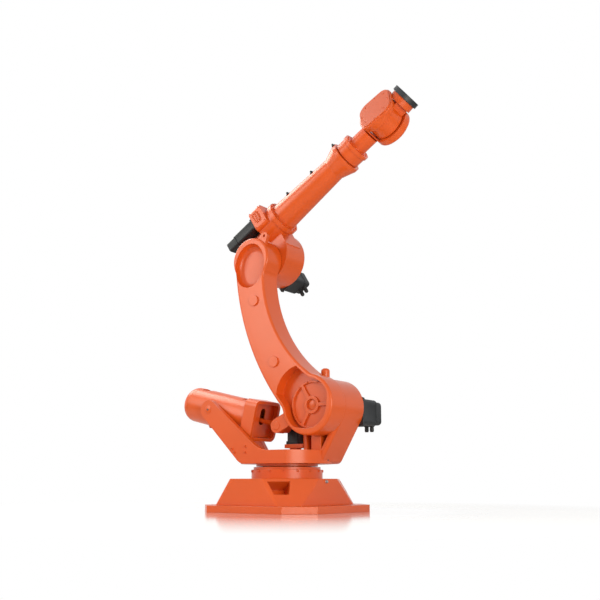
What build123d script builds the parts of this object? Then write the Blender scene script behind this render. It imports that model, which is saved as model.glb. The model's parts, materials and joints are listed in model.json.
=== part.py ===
"""Six-axis industrial robot arm with a spring balancer, in millimetres, Z up.

The origin is on the floor, on the axis about which the robot turns. X points to the robot's front.
Each link is drawn in its own frame and set into the pose of the photograph by the rest angles.
"""
import os
from math import atan2, cos, degrees, hypot, radians, sin

from build123d import *

# Driving dimensions: the skeleton
SHOULDER_REACH = 310.0
SHOULDER_HEIGHT = 690.0
ARM_LENGTH = 1160.0
ELBOW_OFFSET = 216.0
FOREARM_LENGTH = 1313.0
FLANGE_REACH = 226.0

# Rest angles in degrees
ARM_LEAN = 25.0
FOREARM_PITCH = 31.7
WRIST_ROLL = -27.0
WRIST_BEND = 9.0

# Clearances: open joints, running fits
JOINT_GAP = 5.0
RUNNING_FIT = 0.3

# Base
PLATE_HALF = 466.0
PLATE_CORNER = 160.0
PLATE_THICK = 45.0
BOLT_HOLE_R = 13.0
BOLT_EDGE = 66.0
BOLT_SIDE_INSET = 256.0
BOLT_CORNER_X = 131.0
BOLT_CORNER_Y = 86.0
LEDGE_X = 126.0
LEDGE_Y = 26.0
PEDESTAL_HEIGHT = 170.0
FOOT_CORNER = 85.0
HEAD_CORNER = 205.0
PEDESTAL_SLANT = 58.5
PEDESTAL_ROUND = 22.0
POCKET_DEPTH = 110.0
POCKET_BAR = 20.0
POCKET_HEIGHT = 94.0
POCKET_WIDTH = 125.0
POCKET_FOOT_WIDTH = 100.0
BEARING_R = 242.0
BEARING_HEIGHT = 60.0
BEARING_STEP_R = 228.0
BEARING_STEP = 17.0
SPIGOT_R = 150.0
SPIGOT_DEPTH = 40.0

# Turntable
TURN_RING_R = 211.0
TURN_RING_HEIGHT = 16.0
FLOOR_THICK = 40.0
CHEEK_THICK = 38.0
CHEEK_RIM = 88.0
TRUNNION_X = -503.0
TRUNNION_Z = 690.0
TRUNNION_BOSS_R = 67.0
TRUNNION_PIN_R = 24.0
TURN_R = 315.0
TURN_RIM = 34.0
TURN_REAR = -205.0
CHEEK_FRONT = 120.0
CHEEK_BEND = -40.0
CHEEK_BEND_R = 220.0
CHEEK_CORNER_R = 90.0
STRUT_REAR = -292.0
STRUT_FRONT = -180.0
DRUM_R = 187.0
DRUM_DEPTH = 245.0
SHOULDER_DIP = 31.0
SHOULDER_BACK = 145.0
SHOULDER_WALL = 38.0
SHOULDER_POCKET = 70.0
SHOULDER_ROUND = 24.0
CAST_ROUND = 46.0
STOP_R = 30.0
STOP_HEIGHT = 70.0
STOP_ROUND = 20.0

# Balancer
BALANCER_Y = -75.0
BALANCER_R = 125.0
BALANCER_BORE_R = 104.0
BALANCER_BORE_REAR = 50.0
BALANCER_REAR = 250.0
BALANCER_DOME = 84.0
BALANCER_DOME_ROUND = 75.0
BALANCER_FRONT = 382.0
BLOCK_HALF = 138.0
BLOCK_LENGTH = 100.0
BLOCK_ROUND = 46.0
BLOCK_WALL = 22.0
BLOCK_BACK = 26.0
CHEEK_PLAY = 7.0
PAD_LENGTH = 70.0
PAD_FLAT = 9.0
PAD_REAR = 180.0
PAD_FRONT = 210.0
ROD_R = 21.0
ROD_TIP_R = 16.0
ROD_LENGTH = 500.0
ROD_TAPER = 200.0
ROD_EYE_R = 44.0
ROD_EYE_WIDTH = 44.0
LUG_BACK = 303.0
LUG_R = 48.0
LUG_THICK = 72.0
EYE_PLAY = 1.5

# Lower arm
ARM_NEAR = -210.0
ARM_FAR = -50.0
ARM_FOOT_R = 200.0
ARM_HEAD_R = 158.0
ARM_BACK_BULGE = 258.0
ARM_BACK_FOOT = 186.0
ARM_FRONT_WAIST = 18.0
ARM_FRONT_FOOT = 103.0
ARM_FRONT_HEAD = 50.0
ARM_BACK_INSET = 8.0
ARM_BLEND = 100.0
BACK_FOOT_AT = 0.05
BACK_BULGE_AT = 0.457
FRONT_FOOT_AT = 0.157
FRONT_WAIST_AT = 0.552
FRONT_HEAD_AT = 0.85
ARM_ROUND = 16.0
HEAD_RECESS_LONG = 160.0
HEAD_RECESS_SHORT = 130.0
HEAD_RECESS_TURN = 33.0
HEAD_RECESS_DROP = 38.0
HEAD_RECESS_BACK = 23.0
HEAD_RECESS_DEPTH = 62.0
FOOT_RECESS_R = 206.0
FOOT_RECESS_RISE = 68.0
FOOT_RECESS_BACK = 18.0
FOOT_RECESS_RIM = 24.0
FOOT_RECESS_DEPTH = 84.0
COVER_R = 158.0
COVER_THICK = 14.0
COVER_RIM = 12.0
COVER_RISE = 14.0
COVER_HUB_R = 58.0
COVER_HUB_BORE_R = 38.0
COVER_RIB = 22.0
PAD_R = 38.0
PAD_HEIGHT = 11.0
PAD_PLACES = ((0.746, 92.0), (0.332, 117.0))
SHOULDER_SPIGOT_R = 110.0
ELBOW_SPIGOT_R = 92.0
LIFT_LUG_R = 28.0
LIFT_LUG_REACH = 196.0
LIFT_LUG_TURN = 60.0
LIFT_LUG_BORE_R = 10.0
LIFT_LUG_THICK = 30.0

# Elbow and forearm
ELBOW_R = 138.0
ELBOW_FAR = 170.0
BULGE_R = 198.0
BULGE_FORWARD = 40.0
BULGE_RISE = 50.0
BARREL_R = 124.0
BARREL_FRONT = 266.0
CASE_REAR = 125.0
CASE_FRONT = 238.0
CASE_MARGIN = 12.0
CASE_BELOW = 30.0
CASE_ABOVE = 140.0
CASE_ROUND = 26.0
TUBE_FLANGE_R = 134.0
TUBE_FLANGE = 34.0
TUBE_R = 106.0
TUBE_END_R = 86.0
FLARE_R = 120.0
FLARE_LENGTH = 126.0
FLARE_RIM = 27.0
NECK_REACH = 367.0
ROLL_SPIGOT_R = 70.0

# Wrist
COLLAR_R = 100.0
COLLAR_LIP_R = 107.0
COLLAR_LENGTH = 100.0
COLLAR_LIP = 26.0
NECK_R = 69.0
WRIST_R = 138.0
WRIST_HALF = 113.0
WRIST_ROUND = 20.0
WRIST_SLOT = 56.0
WRIST_BRIDGE = 50.0
WRIST_CASE_HALF = 138.0
WRIST_CASE_ROUND = 80.0
WRIST_CASE_FORWARD = 14.0
WRIST_CASE_TURN = 8.0
WRIST_CASE_EDGE = 7.0
SIDE_COVER_THICK = 9.0
SIDE_COVER_R = 112.0
TILT_R = 116.0
TILT_THROAT_R = 88.0
TILT_PIN_R = 46.0
TILT_BRIDGE = 58.0
FLANGE_R = 100.0
FLANGE_THICK = 36.0
FLANGE_PCD = 160.0
FLANGE_HOLES = 8
FLANGE_HOLE_R = 5.1
FLANGE_HOLE_DEPTH = 24.0
FLANGE_BORE_R = 50.0
FLANGE_BORE_DEPTH = 8.0

# Servo motors: half side, length, shared flange
WAIST_MOTOR_HALF = 48.0
WAIST_MOTOR_LENGTH = 230.0
WAIST_MOTOR_BACK = 253.0
WAIST_MOTOR_Y = 20.0
WAIST_SHELF_RISE = 132.0
WAIST_SHELF = 26.0
SHELF_MARGIN = 6.0
WAIST_GEAR_R = 40.0
SHOULDER_MOTOR_HALF = 98.0
SHOULDER_MOTOR_LENGTH = 275.0
SHOULDER_MOTOR_FORWARD = 84.0
SHOULDER_MOTOR_DROP = 28.0
ELBOW_MOTOR_HALF = 78.0
ELBOW_MOTOR_LENGTH = 220.0
ELBOW_MOTOR_BACK = 18.0
ELBOW_MOTOR_DROP = 62.0
WRIST_MOTOR_HALF = 44.0
WRIST_MOTOR_LENGTH = 285.0
WRIST_MOTOR_SPACING = 90.0
WRIST_MOTOR_RISE = 60.0
MOTOR_FLANGE = 16.0
MOTOR_GROOVE = 6.0
# Shares of a motor's half side or length
MOTOR_CORNER = 0.14
MOTOR_CASE = 0.92
MOTOR_CASE_CORNER = 0.34
MOTOR_CASE_END = 0.72
MOTOR_END = 0.82
# Connectors on a motor
PLUG_SPACING = 42.0
PLUG_R = 15.0
PLUG_HEIGHT = 46.0
PLUG_COLLAR_R = 18.0
PLUG_COLLAR = 14.0

# Heights and frames worked out from the driving dimensions
pedestal_top = PLATE_THICK + PEDESTAL_HEIGHT
pedestal_half_x = PLATE_HALF - LEDGE_X
pedestal_half_y = PLATE_HALF - LEDGE_Y
foot_width = pedestal_half_x - FOOT_CORNER
head_width = pedestal_half_x - HEAD_CORNER
side_bolt = (PLATE_HALF - BOLT_EDGE, PLATE_HALF - BOLT_SIDE_INSET)
corner_bolt = (PLATE_HALF - BOLT_CORNER_X, PLATE_HALF - BOLT_CORNER_Y)
tube_end = FOREARM_LENGTH - NECK_REACH
bearing_top = pedestal_top + BEARING_HEIGHT + BEARING_STEP
turn_ring_bottom = bearing_top + JOINT_GAP
turn_floor = turn_ring_bottom + TURN_RING_HEIGHT
floor_top = turn_floor + FLOOR_THICK
drum_near = ARM_FAR + JOINT_GAP
drum_far = drum_near + DRUM_DEPTH
cheek_inner = BLOCK_HALF + CHEEK_PLAY
cheek_near = BALANCER_Y - cheek_inner - CHEEK_THICK
cheek_far = BALANCER_Y + cheek_inner
rim_top = turn_floor + CHEEK_RIM
lug_far = BALANCER_Y - ROD_EYE_WIDTH / 2 - EYE_PLAY
lug_near = lug_far - LUG_THICK
shelf_top = turn_floor + WAIST_SHELF_RISE
shoulder_rear = SHOULDER_REACH - SHOULDER_BACK
waist_motor_x = SHOULDER_REACH - WAIST_MOTOR_BACK

arm_frame = Location((SHOULDER_REACH, 0, SHOULDER_HEIGHT)) * Rotation(0, -ARM_LEAN, 0)
elbow_frame = arm_frame * Location((0, 0, ARM_LENGTH)) * Rotation(0, ARM_LEAN - FOREARM_PITCH, 0)
wrist_frame = elbow_frame * Location((FOREARM_LENGTH, 0, ELBOW_OFFSET)) * Rotation(WRIST_ROLL, 0, 0)
tilt_frame = wrist_frame * Rotation(0, -WRIST_BEND, 0)
shoulder_motor_x = SHOULDER_REACH + SHOULDER_MOTOR_FORWARD
shoulder_motor_z = SHOULDER_HEIGHT - SHOULDER_MOTOR_DROP
shoulder_motor_seat = Location((shoulder_motor_x, drum_far, shoulder_motor_z)) * Rotation(-90, 0, 0)
elbow_motor_place = Location((-ELBOW_MOTOR_BACK, ELBOW_FAR, -ELBOW_MOTOR_DROP))
elbow_motor_seat = elbow_frame * elbow_motor_place * Rotation(-90, 0, 0)
lug_place = arm_frame * Location((-LUG_BACK, BALANCER_Y, 0))
lug_x = lug_place.position.X
lug_z = lug_place.position.Z
balancer_tilt = degrees(atan2(TRUNNION_Z - lug_z, lug_x - TRUNNION_X))
balancer_span = hypot(lug_x - TRUNNION_X, TRUNNION_Z - lug_z)
balancer_frame = Location((TRUNNION_X, BALANCER_Y, TRUNNION_Z)) * Rotation(0, balancer_tilt, 0)


def side_slab(face, near, far):
    """Extrude a face drawn in X and Z from one Y to another."""
    return Location((0, far, 0)) * extrude(Plane.XZ * face, amount=far - near)


def y_cylinder(radius, near, far, x=0.0, z=0.0):
    """Cylinder along Y."""
    return side_slab(Location((x, z)) * Circle(radius), near, far)


def x_cylinder(radius, start, end, y=0.0, z=0.0):
    """Cylinder along X."""
    return Location((start, y, z)) * extrude(Plane.YZ * Circle(radius), amount=end - start)


def soften(face, outer, inner):
    """Round a face's outward corners to one radius and its inward corners to another."""
    filled = offset(offset(face, inner, kind=Kind.ARC), -inner, kind=Kind.ARC)
    return offset(offset(filled, -outer, kind=Kind.ARC), outer, kind=Kind.ARC)


def square_motor(half, length):
    """Servo motor along +Z: square flange, square case with a groove, narrower encoder end."""
    flange = extrude(RectangleRounded(2 * half, 2 * half, MOTOR_CORNER * half), amount=MOTOR_FLANGE)
    side = 2 * MOTOR_CASE * half
    case = extrude(RectangleRounded(side, side, MOTOR_CASE_CORNER * half), amount=MOTOR_CASE_END * length)
    end_side = 2 * MOTOR_END * half
    end = extrude(RectangleRounded(end_side, end_side, MOTOR_CASE_CORNER * half), amount=length)
    ring = Rectangle(3 * half, 3 * half) - RectangleRounded(end_side, end_side, MOTOR_CASE_CORNER * half)
    groove = extrude(ring, amount=MOTOR_GROOVE)
    return flange + case + end - Location((0, 0, MOTOR_CASE_END * length - 3 * MOTOR_GROOVE)) * groove


def motor_plugs(half, length):
    """Pair of connectors on the +Y side of a motor's encoder end."""
    seat = Location((0, MOTOR_END * half, (1 + MOTOR_CASE_END) * length / 2))
    shell = extrude(Circle(PLUG_R), amount=PLUG_HEIGHT) + extrude(Circle(PLUG_COLLAR_R), amount=PLUG_COLLAR)
    places = (-PLUG_SPACING / 2, PLUG_SPACING / 2)
    return [seat * Location((x, 0, 0)) * Rotation(-90, 0, 0) * shell for x in places]


def base_plate():
    """Chamfered square foot plate with two rectangles of floor bolts."""
    plate = extrude(Rectangle(2 * PLATE_HALF, 2 * PLATE_HALF), amount=PLATE_THICK)
    plate = chamfer(plate.edges().filter_by(Axis.Z), PLATE_CORNER)
    holes = [
        Location((sx * x, sy * y)) * Circle(BOLT_HOLE_R)
        for x, y in (side_bolt, corner_bolt)
        for sx in (-1, 1)
        for sy in (-1, 1)
    ]
    return plate - extrude(Sketch() + holes, amount=PLATE_THICK)


def pedestal_outline(width):
    """Eight-sided outline whose corners are cut at the pedestal's slant."""
    rise = (pedestal_half_x - width) * sin(radians(PEDESTAL_SLANT)) / cos(radians(PEDESTAL_SLANT))
    side = pedestal_half_y - rise
    points = [(width, pedestal_half_y), (pedestal_half_x, side)]
    ring = points + [(x, -y) for x, y in reversed(points)]
    ring += [(-x, -y) for x, y in points] + [(-x, y) for x, y in reversed(points)]
    return make_face(Polyline(*ring, close=True))


def corner_pocket():
    """Pocket in the slanted corner at +X and -Y, drawn on the slanted face."""
    turn = radians(PEDESTAL_SLANT)
    lean_in = (foot_width - head_width) * sin(turn)
    slope = hypot(lean_in, PEDESTAL_HEIGHT)
    along = Vector(cos(turn), sin(turn), 0)
    out = Vector(sin(turn), -cos(turn), 0)
    face_normal = out * PEDESTAL_HEIGHT + Vector(0, 0, lean_in)
    foot = Vector(foot_width, -pedestal_half_y, PLATE_THICK)
    plane = Plane(foot, x_dir=along, z_dir=face_normal)
    edge = (foot_width - head_width) * cos(turn) / slope
    high = slope - POCKET_BAR
    low = high - POCKET_HEIGHT
    left = PEDESTAL_ROUND - edge * low
    outline = Polyline(
        (left, low),
        (left + POCKET_FOOT_WIDTH, low),
        (left + POCKET_WIDTH, high),
        (left - edge * POCKET_HEIGHT, high),
        close=True,
    )
    return extrude(plane * make_face(outline), amount=-POCKET_DEPTH)


def base_pedestal():
    """Cast pedestal whose corners lean in, with a pocket in each corner."""
    foot = Location((0, 0, PLATE_THICK)) * pedestal_outline(foot_width)
    head = Location((0, 0, pedestal_top)) * pedestal_outline(head_width)
    body = loft([foot, head], ruled=True)
    upright = [e for e in body.edges() if abs((e @ 0).Z - (e @ 1).Z) > PEDESTAL_HEIGHT / 2]
    body = fillet(upright, PEDESTAL_ROUND)
    pocket = corner_pocket()
    for twin in (pocket, pocket.mirror(Plane.XZ)):
        body = body - twin - twin.mirror(Plane.YZ)
    return body


def bearing_ring():
    """Fixed ring of the waist bearing, stepped at the top, bored for the spigot."""
    lower = extrude(Circle(BEARING_R), amount=BEARING_HEIGHT)
    upper = extrude(Circle(BEARING_STEP_R), amount=BEARING_HEIGHT + BEARING_STEP)
    ring = Location((0, 0, pedestal_top)) * (lower + upper)
    bore = extrude(Circle(SPIGOT_R + RUNNING_FIT), amount=-SPIGOT_DEPTH - JOINT_GAP)
    return ring - Location((0, 0, bearing_top)) * bore


def turntable_ring():
    """Turning ring under the turntable, with the spigot that runs in the bearing."""
    disc = Location((0, 0, turn_ring_bottom)) * extrude(Circle(TURN_RING_R), amount=TURN_RING_HEIGHT)
    spigot = extrude(Circle(SPIGOT_R), amount=SPIGOT_DEPTH)
    spigot = Location((0, 0, turn_ring_bottom - SPIGOT_DEPTH)) * spigot
    return disc + spigot


def cheek_tip():
    """Boss round the trunnion, and the points where the cheek's two edges leave it."""
    run = hypot(TURN_REAR - TRUNNION_X, TRUNNION_Z - turn_floor)
    across_x = TRUNNION_BOSS_R * (TRUNNION_Z - turn_floor) / run
    across_z = TRUNNION_BOSS_R * (TURN_REAR - TRUNNION_X) / run
    boss = Location((TRUNNION_X, TRUNNION_Z)) * Circle(TRUNNION_BOSS_R)
    rear = (TRUNNION_X - across_x, TRUNNION_Z - across_z)
    front = (TRUNNION_X + across_x, TRUNNION_Z + across_z)
    return boss, rear, front


def near_cheek_outline():
    """Outline of the near cheek: the broad arm up to the trunnion and the low rail along the floor."""
    boss, rear, front = cheek_tip()
    band = Polyline(
        rear,
        (TURN_REAR, turn_floor),
        (CHEEK_FRONT, turn_floor),
        (CHEEK_FRONT, rim_top),
        (CHEEK_BEND, rim_top),
        front,
        close=True,
    )
    rough = make_face(band) + boss
    corner = rough.vertices().sort_by_distance((TURN_REAR, turn_floor))[0]
    rounded = fillet([corner], CHEEK_CORNER_R)
    bend = rounded.vertices().sort_by_distance((CHEEK_BEND, rim_top))[0]
    return fillet([bend], CHEEK_BEND_R)


def far_cheek_outline():
    """Outline of the far cheek: a plain strut from the floor's rear edge to the trunnion."""
    boss, rear, front = cheek_tip()
    strut = Polyline(rear, (STRUT_REAR, turn_floor), (STRUT_FRONT, turn_floor), front, close=True)
    return make_face(strut) + boss


def turntable_dish():
    """Round floor with a low rim, cut flat along the near cheek."""
    middle = (cheek_near + TURN_R) / 2
    strip = Location((0, middle)) * Rectangle(4 * TURN_R, TURN_R - cheek_near)
    plan = Circle(TURN_R) & strip
    rim = plan - offset(plan, -TURN_RIM)
    dish = extrude(plan, amount=FLOOR_THICK) + extrude(rim, amount=CHEEK_RIM)
    return Location((0, 0, turn_floor)) * dish


def shoulder_outline():
    """Outline of the front arm of the U: the shoulder drum and the walls that fall from it to the floor."""
    drum = Location((SHOULDER_REACH, SHOULDER_HEIGHT)) * Circle(DRUM_R)
    dip = radians(SHOULDER_DIP)
    front = (SHOULDER_REACH + DRUM_R * cos(dip), SHOULDER_HEIGHT - DRUM_R * sin(dip))
    front_foot = front[0] - (front[1] - turn_floor) * sin(dip) / cos(dip)
    wall = Polyline(
        (SHOULDER_REACH - DRUM_R * cos(dip), SHOULDER_HEIGHT - DRUM_R * sin(dip)),
        (shoulder_rear, turn_floor),
        (front_foot, turn_floor),
        front,
        close=True,
    )
    return soften(make_face(wall) + drum, CAST_ROUND, CAST_ROUND)


def shoulder_pockets():
    """Two pockets between the ribs under the shoulder drum, open to the near side."""
    clear = Location((SHOULDER_REACH, SHOULDER_HEIGHT)) * Circle(SHOULDER_SPIGOT_R + SHOULDER_WALL)
    top = SHOULDER_HEIGHT - SHOULDER_WALL
    inner = offset(shoulder_outline(), -SHOULDER_WALL, kind=Kind.ARC)
    band = Location((SHOULDER_REACH, (rim_top + top) / 2)) * Rectangle(4 * DRUM_R, top - rim_top)
    rib_x = SHOULDER_REACH - SHOULDER_WALL
    rib = Location((rib_x, SHOULDER_HEIGHT / 2)) * Rectangle(2 * SHOULDER_WALL, SHOULDER_HEIGHT)
    return side_slab((inner & band) - clear - rib, drum_near, drum_near + SHOULDER_POCKET)


def turntable_casting():
    """One casting: dished floor, two cheeks that carry the balancer, and the shoulder drum."""
    shoulder = side_slab(shoulder_outline(), drum_near, drum_far)
    shoulder = fillet(shoulder.faces().sort_by(Axis.Y)[0].edges(), SHOULDER_ROUND)
    body = turntable_dish() + shoulder - shoulder_pockets()
    body += side_slab(near_cheek_outline(), cheek_near, cheek_near + CHEEK_THICK)
    body += side_slab(far_cheek_outline(), cheek_far, cheek_far + CHEEK_THICK)
    spigot_r = SHOULDER_SPIGOT_R + RUNNING_FIT
    body -= y_cylinder(spigot_r, drum_near, drum_near + SPIGOT_DEPTH, SHOULDER_REACH, SHOULDER_HEIGHT)
    body -= y_cylinder(TRUNNION_PIN_R, cheek_near, cheek_far + CHEEK_THICK, TRUNNION_X, TRUNNION_Z)
    return body


def trunnion_pins():
    """Two pins, one in each cheek, on which the balancer rocks."""
    reach = BALANCER_R - PAD_FLAT
    near = y_cylinder(TRUNNION_PIN_R, cheek_near, BALANCER_Y - reach, TRUNNION_X, TRUNNION_Z)
    far_end = cheek_far + CHEEK_THICK
    far = y_cylinder(TRUNNION_PIN_R, BALANCER_Y + reach, far_end, TRUNNION_X, TRUNNION_Z)
    return near, far


def shoulder_stop():
    """Round-topped stop post on the shoulder drum."""
    post = extrude(Circle(STOP_R), amount=STOP_HEIGHT + STOP_R)
    post = fillet(post.faces().sort_by(Axis.Z)[-1].edges(), STOP_ROUND)
    seat = Location((SHOULDER_REACH, drum_near + 2 * STOP_R, SHOULDER_HEIGHT + DRUM_R - STOP_R))
    drum = y_cylinder(DRUM_R, drum_near, drum_far, SHOULDER_REACH, SHOULDER_HEIGHT)
    return seat * post - drum


def balancer_cylinder():
    """Spring can: domed at the rear, open at the front, with two flats on top and trunnion bores."""
    profile = Polyline(
        (-BALANCER_REAR, 0), (-BALANCER_REAR, BALANCER_R), (BALANCER_FRONT - BLOCK_LENGTH, BALANCER_R),
        (BALANCER_FRONT - BLOCK_LENGTH, BALANCER_BORE_R), (-BALANCER_BORE_REAR, BALANCER_BORE_R),
        (-BALANCER_BORE_REAR, 0), close=True,
    )
    can = revolve(Plane.XZ * make_face(profile), Axis.X)
    flat = Box(PAD_LENGTH, BALANCER_R, 2 * PAD_FLAT)
    can -= Location((-PAD_REAR, 0, BALANCER_R)) * flat
    can -= Location((PAD_FRONT, 0, BALANCER_R)) * flat
    pin_r = TRUNNION_PIN_R + RUNNING_FIT
    reach = PAD_FLAT + RUNNING_FIT
    can -= y_cylinder(pin_r, -BALANCER_R, reach - BALANCER_R)
    can -= y_cylinder(pin_r, BALANCER_R - reach, BALANCER_R)
    return balancer_frame * can


def balancer_rear_cap():
    """Dished end of the spring can."""
    dome = Location((-BALANCER_REAR, 0, 0)) * x_cylinder(BALANCER_R, -BALANCER_DOME, 0)
    rear = dome.faces().sort_by(Axis.X)[0]
    return balancer_frame * fillet(rear.edges(), BALANCER_DOME_ROUND)


def balancer_front_block():
    """Squarish front block: bored at the rear for the rod, opened wide at the front."""
    start = BALANCER_FRONT - BLOCK_LENGTH
    mouth = 2 * (BLOCK_HALF - BLOCK_WALL)
    whole = RectangleRounded(2 * BLOCK_HALF, 2 * BLOCK_HALF, BLOCK_ROUND)
    rear = whole - Circle(BALANCER_BORE_R)
    front = whole - RectangleRounded(mouth, mouth, BLOCK_ROUND - BLOCK_WALL)
    block = extrude(Plane.YZ * rear, amount=BLOCK_BACK)
    block += Location((BLOCK_BACK, 0, 0)) * extrude(Plane.YZ * front, amount=BLOCK_LENGTH - BLOCK_BACK)
    return balancer_frame * Location((start, 0, 0)) * block


def balancer_rod():
    """Rod with a tapered shank and the eye that turns on the lower arm's pin."""
    half = ROD_EYE_WIDTH / 2
    shank = Polyline(
        (-ROD_LENGTH, 0), (-ROD_LENGTH, ROD_TIP_R), (-ROD_TAPER, ROD_TIP_R), (0, ROD_R), (0, 0), close=True,
    )
    rod = revolve(Plane.XZ * make_face(shank), Axis.X) + y_cylinder(ROD_EYE_R, -half, half)
    rod -= y_cylinder(TRUNNION_PIN_R + RUNNING_FIT, -ROD_EYE_R, ROD_EYE_R)
    return balancer_frame * Location((balancer_span, 0, 0)) * rod


def arm_outline():
    """Banana-shaped outline of the lower arm in its own frame: X to the front, Z up the arm."""
    foot = Circle(ARM_FOOT_R)
    head = Location((0, ARM_LENGTH)) * Circle(ARM_HEAD_R)
    back_low = (-ARM_BACK_FOOT, BACK_FOOT_AT * ARM_LENGTH)
    back_high = (ARM_BACK_INSET - ARM_HEAD_R, ARM_LENGTH)
    front_high = (ARM_FRONT_HEAD, FRONT_HEAD_AT * ARM_LENGTH)
    front_low = (ARM_FRONT_FOOT, FRONT_FOOT_AT * ARM_LENGTH)
    back = ThreePointArc(back_low, (-ARM_BACK_BULGE, BACK_BULGE_AT * ARM_LENGTH), back_high)
    front = ThreePointArc(front_high, (-ARM_FRONT_WAIST, FRONT_WAIST_AT * ARM_LENGTH), front_low)
    web = make_face([back, Line(back_high, front_high), front, Line(front_low, back_low)])
    swollen = offset(foot + head + web, ARM_BLEND, kind=Kind.ARC)
    return offset(swollen, -ARM_BLEND, kind=Kind.ARC)


def arm_recesses(outline):
    """Oval hollow in the arm's head and round hollow in its foot, open to the near side."""
    oval = Rotation(0, 0, -HEAD_RECESS_TURN) * Ellipse(HEAD_RECESS_SHORT, HEAD_RECESS_LONG)
    oval = Location((-HEAD_RECESS_BACK, ARM_LENGTH - HEAD_RECESS_DROP)) * oval
    inner = offset(outline, -FOOT_RECESS_RIM, kind=Kind.ARC)
    seat = Circle(COVER_R + RUNNING_FIT)
    round_hollow = inner & (Location((-FOOT_RECESS_BACK, FOOT_RECESS_RISE)) * Circle(FOOT_RECESS_R) + seat)
    head = side_slab(oval, ARM_NEAR - PAD_HEIGHT, ARM_NEAR + HEAD_RECESS_DEPTH)
    return head + side_slab(round_hollow, ARM_NEAR - PAD_HEIGHT, ARM_NEAR + FOOT_RECESS_DEPTH)


def lower_arm_casting():
    """Curved lower arm: hollowed head and foot, two pads, balancer lug, lifting lug and two spigots."""
    outline = arm_outline()
    body = side_slab(outline, ARM_NEAR, ARM_FAR)
    body = fillet(body.faces().sort_by(Axis.Y)[0].edges(), ARM_ROUND)
    for along, back in PAD_PLACES:
        body += y_cylinder(PAD_R, ARM_NEAR - PAD_HEIGHT, ARM_NEAR, -back, along * ARM_LENGTH)
    lug = Location((-LUG_BACK, 0)) * Circle(LUG_R)
    lug += Location((-LUG_BACK / 2, 0)) * Rectangle(LUG_BACK, 2 * LUG_R)
    body += side_slab(lug, lug_near, lug_far)
    lift_x = LIFT_LUG_REACH * sin(radians(LIFT_LUG_TURN))
    lift_z = ARM_LENGTH + LIFT_LUG_REACH * cos(radians(LIFT_LUG_TURN))
    ear = make_hull(
        (Location((lift_x, lift_z)) * Circle(LIFT_LUG_R)).edges()
        + (Location((lift_x / 2, (lift_z + ARM_LENGTH) / 2)) * Circle(2 * LIFT_LUG_R)).edges()
    )
    body += side_slab(ear, ARM_NEAR + ARM_ROUND, ARM_NEAR + ARM_ROUND + LIFT_LUG_THICK)
    body -= arm_recesses(outline)
    body -= y_cylinder(LIFT_LUG_BORE_R, ARM_NEAR, ARM_FAR, lift_x, lift_z)
    body -= y_cylinder(TRUNNION_PIN_R, lug_near, lug_far, -LUG_BACK, 0)
    body += y_cylinder(SHOULDER_SPIGOT_R, ARM_FAR, ARM_FAR + SPIGOT_DEPTH)
    body += y_cylinder(ELBOW_SPIGOT_R, ARM_FAR, ARM_FAR + SPIGOT_DEPTH, 0, ARM_LENGTH)
    return arm_frame * body


def shoulder_gear_cover():
    """Round cover in the foot recess: raised rim, hub ring and three ribs."""
    base = Circle(COVER_R)
    rim = base - Circle(COVER_R - COVER_RIM)
    hub = Circle(COVER_HUB_R) - Circle(COVER_HUB_BORE_R)
    middle = (COVER_HUB_R + COVER_R - COVER_RIM) / 2
    length = COVER_R - COVER_HUB_R
    for turn in (0, 120, 240):
        hub += Rotation(0, 0, turn - ARM_LEAN) * Location((middle, 0)) * Rectangle(length, COVER_RIB)
    floor = ARM_NEAR + FOOT_RECESS_DEPTH
    cover = side_slab(base, floor - COVER_THICK, floor)
    cover += side_slab(rim + hub, floor - COVER_THICK - COVER_RISE, floor - COVER_THICK)
    return arm_frame * cover


def balancer_pin():
    """Pin through the arm's lug and the rod's eye."""
    pin = y_cylinder(TRUNNION_PIN_R, lug_near, BALANCER_Y + ROD_EYE_WIDTH / 2)
    return arm_frame * Location((-LUG_BACK, 0, 0)) * pin


def elbow_body():
    """Elbow housing in its own frame: drum on the elbow axis, bulge, web and the forearm's barrel."""
    near = ARM_FAR + JOINT_GAP
    outline = Circle(ELBOW_R) + Location((BULGE_FORWARD, BULGE_RISE)) * Circle(BULGE_R)
    body = side_slab(outline, near, ELBOW_FAR)
    web = Location((CASE_FRONT / 2, ELBOW_OFFSET / 2)) * Rectangle(CASE_FRONT, ELBOW_OFFSET)
    body += side_slab(web, near, BARREL_R)
    body += x_cylinder(BARREL_R, CASE_REAR, BARREL_FRONT, 0, ELBOW_OFFSET)
    body -= y_cylinder(ARM_HEAD_R + 2 * JOINT_GAP, -BARREL_R, near)
    under_motors = ELBOW_OFFSET + WRIST_MOTOR_RISE - WRIST_MOTOR_HALF - JOINT_GAP
    room = Location((CASE_REAR - BULGE_R, under_motors + BULGE_R)) * Rectangle(2 * BULGE_R, 2 * BULGE_R)
    body -= side_slab(room, near, ELBOW_FAR)
    return body - y_cylinder(ELBOW_SPIGOT_R + RUNNING_FIT, near, near + SPIGOT_DEPTH)


def motor_gear_case(housing):
    """Rounded case across the barrel's top, which the three wrist motors are bolted to."""
    half = WRIST_MOTOR_HALF + CASE_MARGIN
    width = 2 * WRIST_MOTOR_SPACING + 2 * half
    height = CASE_ABOVE + CASE_BELOW
    rise = ELBOW_OFFSET + (CASE_ABOVE - CASE_BELOW) / 2
    face = Location((0, rise)) * RectangleRounded(width, height, CASE_ROUND)
    case = Location((CASE_REAR, 0, 0)) * extrude(Plane.YZ * face, amount=CASE_FRONT - CASE_REAR)
    return elbow_frame * (case - housing)


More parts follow.
